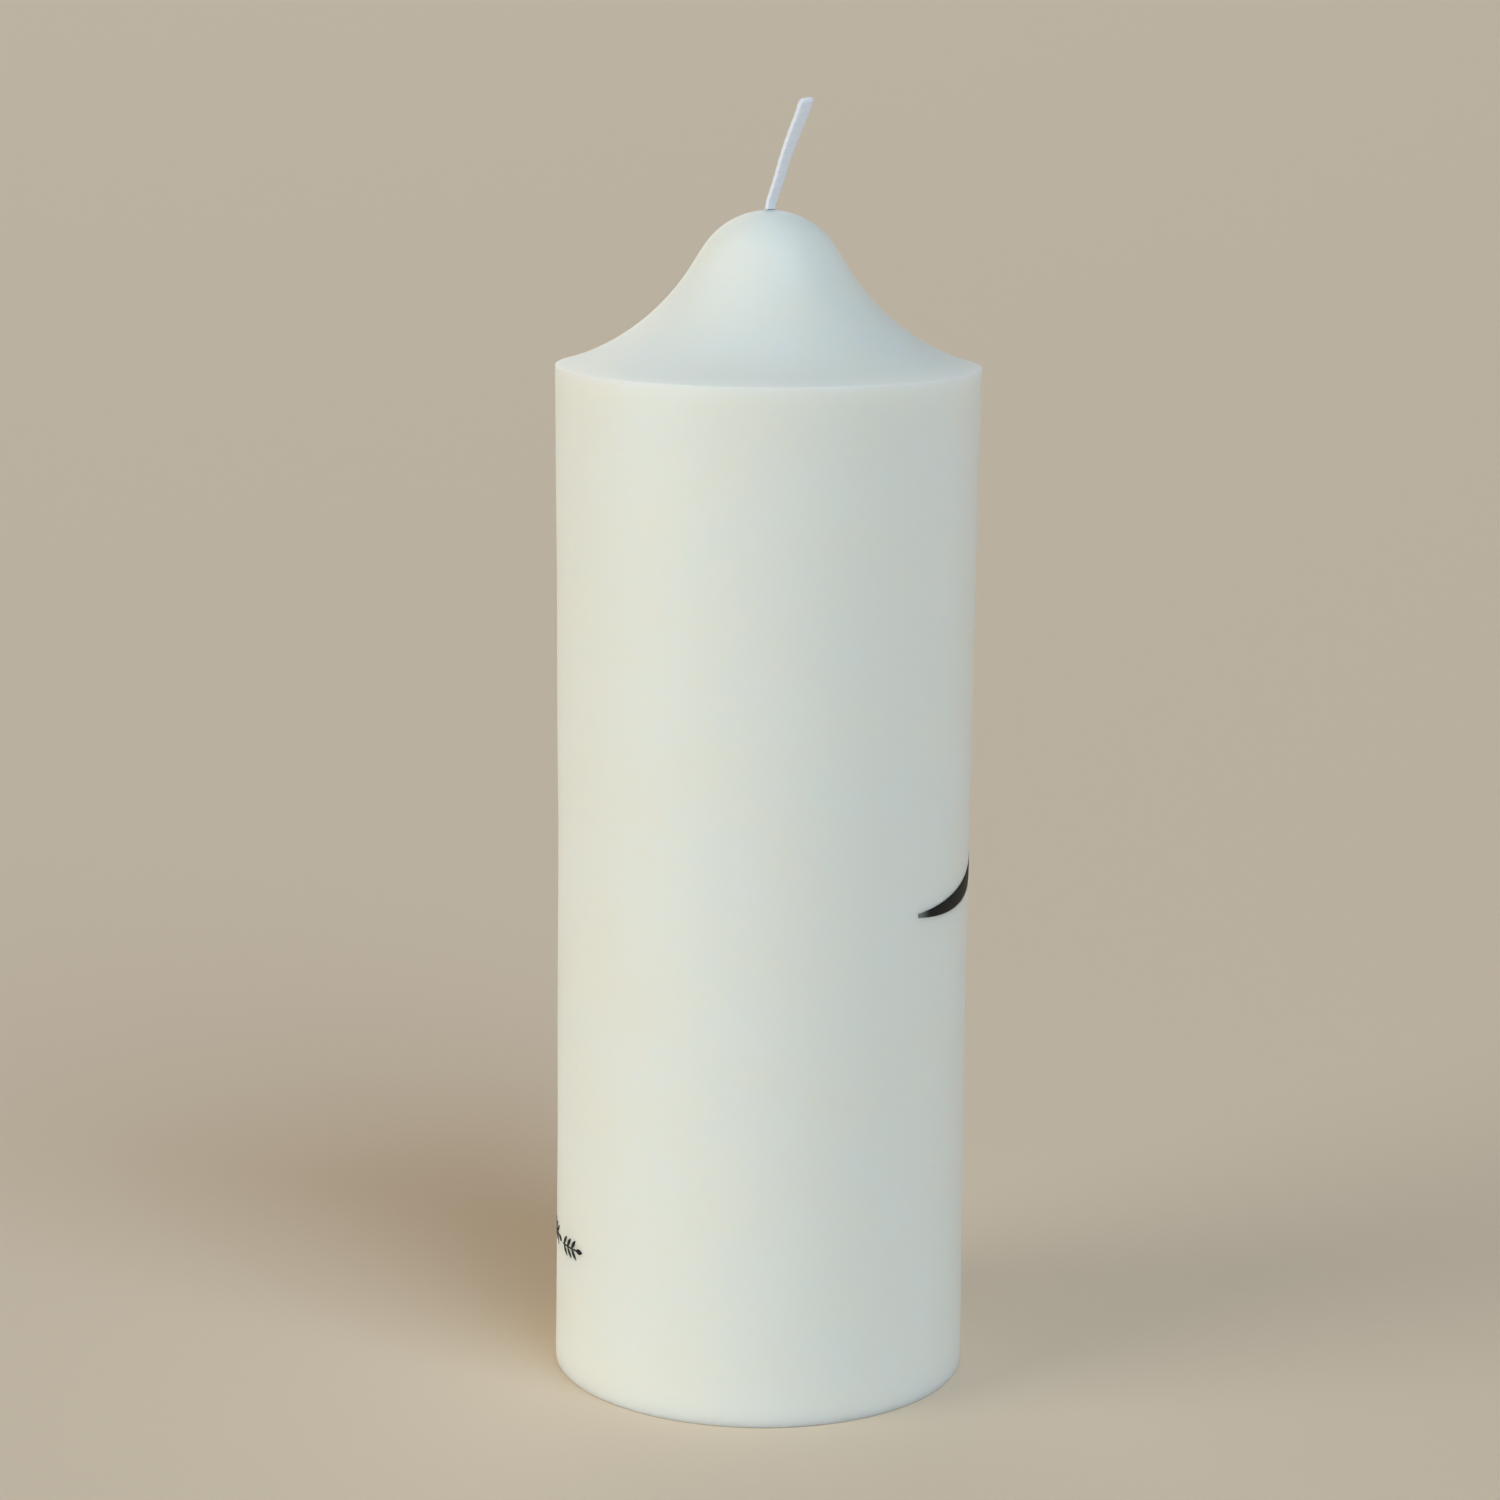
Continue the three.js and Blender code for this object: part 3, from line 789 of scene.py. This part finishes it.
flourishes = {
    "flourish_long": {
        "direction": 1,  # the way it runs round, 1 with the angle
        "tipToLow": 3.7 * mm,  # round the side, from the tip to the stroke's lowest point
        "lowHeight": 84 * mm,
        "endHeight": 108.4 * mm,
        "hollowShare": 0.65,  # the hollow arc's radius, as a share of both
        "tipBreadth": 0.62 * mm,
        "breadth": 3.55 * mm,
        "opening": 25 * mm,  # length over which it widens
        "closing": 48 * mm,  # and over which it narrows
    },
    "flourish_short": {
        "direction": -1,
        "tipToLow": 3 * mm,
        "lowHeight": 92.5 * mm,
        "endHeight": 101.3 * mm,
        "hollowShare": 0.6,
        "tipBreadth": 0.4 * mm,
        "breadth": 2.6 * mm,
        "opening": 11 * mm,
        "closing": 22 * mm,
    },
}
strokeRows = {"hollow": 110, "rounded": 50}  # points on each arc
finestInk = 0.2 * mm  # a stroke's breadth where it ends


# A brush stroke on two arcs: a hollow one, level at its lowest point, then one that bends the other
# way and ends level. The steepest place, where they meet, slopes 2 atan(climb / reach), and the two
# radii together are reach / sin of that.
def makeFlourish(name):
    f = flourishes[name]
    direction = f["direction"]
    reached = angleOf(cadPoints(name)) * bodyRadius
    tip, end = (reached.min(), reached.max()) if direction > 0 else (reached.max(), reached.min())
    low = tip + direction * f["tipToLow"]
    reach, climb = abs(end - low), f["endHeight"] - f["lowHeight"]
    steepest = 2 * math.atan2(climb, reach)
    hollow = f["hollowShare"] * reach / math.sin(steepest)
    rounded = reach / math.sin(steepest) - hollow
    bend = np.linspace(-math.asin(f["tipToLow"] / hollow), steepest, strokeRows["hollow"])[:, None]
    unbend = np.linspace(steepest, 0, strokeRows["rounded"])[1:, None]
    sagging = hollow * np.hstack([direction * np.sin(bend), 1 - np.cos(bend)])
    rounding = rounded * np.hstack([direction * np.sin(unbend), 1 - np.cos(unbend)])
    centre = np.vstack([(low, f["lowHeight"]) + sagging, (end, f["endHeight"]) - rounding])
    gone = lengthsAlong(centre)
    opened = f["tipBreadth"] + (f["breadth"] - f["tipBreadth"]) * opening(gone, f["opening"])
    breadth = finestInk + (opened - finestInk) * opening(gone[-1] - gone, f["closing"])
    makePiece(name + "_ink", [inkFilm(*strokeEdges(centre, breadth))], inkMaterial, [name])


ringShape = {
    "breadth": 0.9 * mm,
    "gap": 0.45 * mm,  # a stroke stops its own breadth and this much short of the crossing
    "swell": 0.14,  # how much broader the brush runs at the ring's sides
    "rows": 200,
}


# One linked ring: an arc round its middle, open where it passes under the other ring. The two
# circles cross at acos(apart / radius) from the line through their middles. The stroke's breadth is
# breadth * (1 - swell + swell * cos(2 turn)).
def makeRing(name, side):
    r = ringShape
    points = cadPoints(name)
    reach = angleOf(points) * bodyRadius
    height = (points[:, 2].min() + points[:, 2].max()) / 2
    radius = (points[:, 2].max() - points[:, 2].min()) / 2 - r["breadth"] / 2
    middle = (reach.min() + reach.max()) / 2
    other = angleOf(cadPoints("ring_right" if side < 0 else "ring_left")) * bodyRadius
    apart = abs((other.min() + other.max()) / 2 - middle) / 2
    crossing = math.acos(apart / radius)
    under = -crossing if side < 0 else math.pi - crossing
    halfGap = (r["breadth"] + r["gap"]) / radius
    turn = np.linspace(under + halfGap, under - halfGap + 2 * math.pi, r["rows"])
    centre = np.stack([middle + radius * np.cos(turn), height + radius * np.sin(turn)], -1)
    breadth = r["breadth"] * (1 - r["swell"] + r["swell"] * np.cos(2 * turn))
    makePiece(name + "_ink", [inkFilm(*strokeEdges(centre, breadth))], inkMaterial, [name])


sprigShape = {
    "stem": 0.3 * mm,
    "pairs": 3,
    "root": 0.35 * mm,  # a leaf's length along the stem where it grows out
    "reach": 2 * mm,  # from there to its point, along the stem
    "rise": 1.55 * mm,  # and out from it
    "backHandle": (0.1, 0.75),  # shares of reach and rise that bow a leaf's back edge
    "frontHandle": (0.8, 0.2),
    "tipLeaf": 2.3 * mm,
    "tipBulge": 0.45 * mm,
    "point": 0.06 * mm,  # a leaf's breadth at its point
    "overlap": 0.2 * mm,  # the stem runs this far into the leaf at its tip
    "tilt": 6,  # degrees, up and down in turn
    "stemRows": 24,
    "leafRows": 14,
}


# a curve with one handle: (1 - t)^2 a + 2t(1 - t) b + t^2 c
def bow(a, b, c):
    t = np.linspace(0, 1, sprigShape["leafRows"])[:, None]
    return (1 - t) ** 2 * np.array(a) + 2 * t * (1 - t) * np.array(b) + t**2 * np.array(c)


# A sprig, flat, from its stem's foot at 0 along to its tip at length: the stem, a leaf at the tip,
# and pairs of leaves, each lying between two bowed edges from its root, which starts inside the
# stem, to its point.
def sprigEdges(length):
    s = sprigShape
    half, inside, blunt = s["stem"] / 2, s["stem"] / 4, s["point"] / 2
    tipRoot = length - s["tipLeaf"]
    stemEnd = tipRoot + s["overlap"]
    middle = tipRoot + s["tipLeaf"] / 2
    stem = [straight((-s["root"], side * half), (stemEnd, side * half), s["stemRows"]) for side in (1, -1)]
    tip = [
        bow((tipRoot, side * inside), (middle, side * 2 * s["tipBulge"]), (length, side * blunt))
        for side in (1, -1)
    ]
    edges = [stem, tip]
    for k in range(s["pairs"]):
        root = k * tipRoot / s["pairs"]
        point = root + s["reach"]
        for side in (-1, 1):
            rise = side * (half + s["rise"])
            backHandle, frontHandle = (
                (root + along * s["reach"], side * (half + outward * s["rise"]))
                for along, outward in (s["backHandle"], s["frontHandle"])
            )
            back = bow((root, side * inside), backHandle, (point - blunt, rise))
            front = bow((root + s["root"], side * inside), frontHandle, (point + blunt, rise))
            edges.append((back, front) if side > 0 else (front, back))
    return edges


# One sprig in the middle of its node's place, leaning by tilt. It reaches as far round as the node
# does, so its length is reach / cos(tilt), less the root's.
def makeSprig(name, tilt):
    points = cadPoints(name)
    reach = angleOf(points) * bodyRadius
    lean = np.radians(tilt)
    length = (reach.max() - reach.min()) / math.cos(lean) - sprigShape["root"]
    middle = np.array([(reach.min() + reach.max()) / 2, (points[:, 2].min() + points[:, 2].max()) / 2])
    turn = np.array([[math.cos(lean), math.sin(lean)], [-math.sin(lean), math.cos(lean)]])
    surfaces = []
    for left, right in sprigEdges(length):
        placed = [(edge - (length / 2, 0)) @ turn + middle for edge in (left, right)]
        surfaces.append(inkFilm(*placed))
    makePiece(name + "_ink", surfaces, inkMaterial, [name])


for name in flourishes:
    makeFlourish(name)
makeRing("ring_left", -1)
makeRing("ring_right", 1)
for number, name in enumerate(sprigNodes):
    makeSprig(name, sprigShape["tilt"] * (1 if number % 2 == 0 else -1))
print("print made: %d pieces" % (len(flourishes) + 2 + len(sprigNodes)))


studio = {
    "floor": "#ECD7BC",
    "floorRoughness": 0.9,
    "floorSides": 96,
    "sky": "#FFF1DC",
    "horizonStrength": 0.58,
    "skyStrength": 0.22,
    "haze": 0.3,  # how far up, as a sine, the sky takes to fall from one strength to the other
    "floorFlat": 3.0,  # the floor is level this far out
    "floorReach": 300.0,
    "floorRise": 1.0,  # and climbs this much from there to its edge
    "softness": 40,  # degrees across that a lamp looks from the candle
}
lamps = {
    # degrees round from -Y towards +X, degrees up, strength, colour
    "key": (-65, 12, 1.77, "#FDFFFE"),
    "fill": (35, 42, 1.64, "#C2E1FF"),
    "back": (190, 20, 0.34, "#FFFAF0"),
}


# The floor: a level disc with a ring that climbs from its edge, so that it meets the sky behind.
def makeFloor():
    material, tree = newMaterial("pale_floor")
    paint = addNode(
        tree, "ShaderNodeBsdfPrincipled",
        {"Base Color": linear(studio["floor"]), "Roughness": studio["floorRoughness"]},
    )
    addNode(tree, "ShaderNodeOutputMaterial", {}, {"Surface": (paint, "BSDF")})
    turns = np.linspace(0, 2 * math.pi, studio["floorSides"], endpoint=False)
    circle = np.stack([np.sin(turns), -np.cos(turns), 0 * turns], -1)
    flat = circle * studio["floorFlat"]
    edge = circle * studio["floorReach"] + (0, 0, studio["floorRise"])
    k = np.arange(len(turns))
    beside = (k + 1) % len(turns)
    climbing = np.stack([k + len(k), beside + len(k), beside, k], -1)
    mesh = bpy.data.meshes.new("floor")
    mesh.from_pydata(np.vstack([flat, edge]).tolist(), [], [k.tolist()] + climbing.tolist())
    mesh.materials.append(material)
    floor = bpy.data.objects.new("floor", mesh)
    bpy.context.scene.collection.objects.link(floor)


# a lamp far away in the direction (sin turn cos climb, -cos turn cos climb, sin climb)
def makeLamps():
    for name, (turn, climb, strength, colour) in lamps.items():
        turn, climb = math.radians(turn), math.radians(climb)
        level = math.cos(climb)
        away = Vector((math.sin(turn) * level, -math.cos(turn) * level, math.sin(climb)))
        lamp = bpy.data.lights.new(name, "SUN")
        lamp.angle = math.radians(studio["softness"])
        lamp.energy = strength
        lamp.color = linear(colour)[:3]
        holder = bpy.data.objects.new(name, lamp)
        holder.rotation_euler = away.to_track_quat("Z", "Y").to_euler()
        bpy.context.scene.collection.objects.link(holder)


# the sky: one soft colour, stronger at the horizon than overhead
def makeSky():
    world = bpy.data.worlds.new("studio")
    world.use_nodes = True
    world.node_tree.nodes.clear()
    sky = world.node_tree
    direction = addNode(sky, "ShaderNodeTexCoord", {})
    upward = addNode(sky, "ShaderNodeSeparateXYZ", {}, {"Vector": (direction, "Generated")})
    strength = addNode(
        sky, "ShaderNodeMapRange",
        {"interpolation_type": "SMOOTHSTEP", "From Min": 0.0, "From Max": studio["haze"],
         "To Min": studio["horizonStrength"], "To Max": studio["skyStrength"]},
        {"Value": (upward, "Z")},
    )
    glow = addNode(
        sky, "ShaderNodeBackground", {"Color": linear(studio["sky"])},
        {"Strength": (strength, "Result")},
    )
    addNode(sky, "ShaderNodeOutputWorld", {}, {"Surface": (glow, "Background")})
    bpy.context.scene.world = world
    bpy.context.scene.view_settings.view_transform = "Standard"


makeFloor()
makeLamps()
makeSky()
print("studio made")

bpy.context.view_layer.update()
